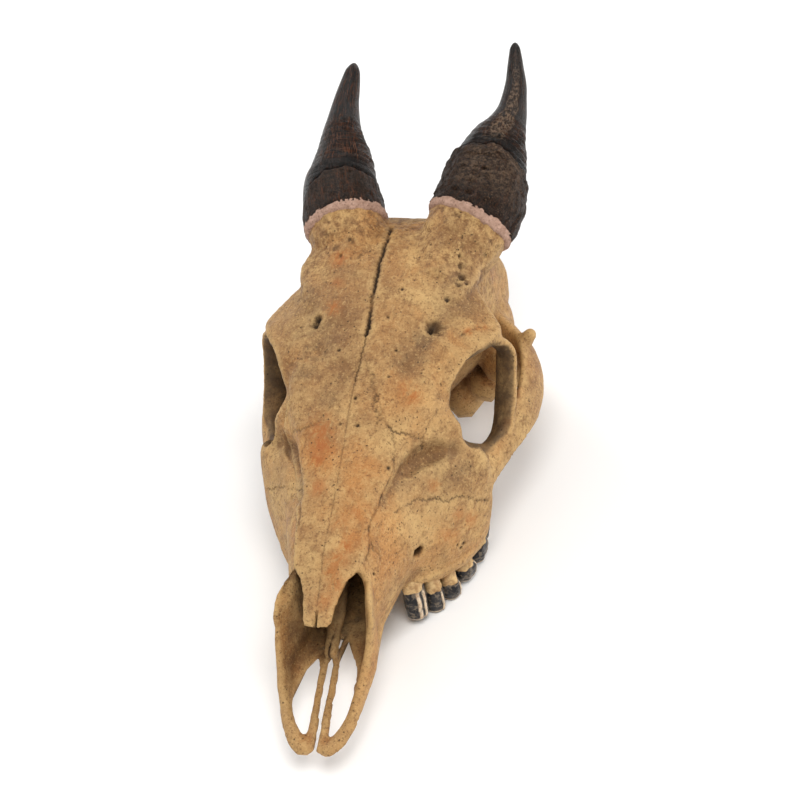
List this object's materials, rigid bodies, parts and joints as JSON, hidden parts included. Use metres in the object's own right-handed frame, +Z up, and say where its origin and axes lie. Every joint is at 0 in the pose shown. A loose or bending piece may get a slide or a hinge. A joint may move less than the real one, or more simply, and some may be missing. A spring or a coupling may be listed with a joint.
{
  "type": "peters duiker skull",
  "caption": "Small antelope skull without its lower jaw: long snout with an open nose, wide eye sockets, upper cheek teeth and short backswept horns seated on filler rings",
  "frame": {"origin": "Middle of the whole width and length, on the surface that the skull rests on", "axes": "+Y from the tip of the snout to the horns and the back of the head, +Z up from the surface, +X to the skull's own left"},
  "size_m": [0.0909, 0.2297, 0.1081],
  "materials": {
    "bone": "dry matt bone, porous and stained",
    "horn": "dark horn, polished at the tips and rough at the foot",
    "filler": "matt, coarse and lumpy",
    "tooth": "satin enamel, stained dark"
  },
  "bodies": {
    "root": {"cranium": "bone", "filler_collar_left": "filler", "horn_sheath_left": "horn", "filler_collar_right": "filler", "horn_sheath_right": "horn", "premolar_2_left": "tooth", "premolar_3_left": "tooth", "premolar_4_left": "tooth", "molar_1_left": "tooth", "molar_2_left": "tooth", "molar_3_left": "tooth", "premolar_2_right": "tooth", "premolar_3_right": "tooth", "premolar_4_right": "tooth", "molar_1_right": "tooth", "molar_2_right": "tooth", "molar_3_right": "tooth"}
  },
  "joints": []
}
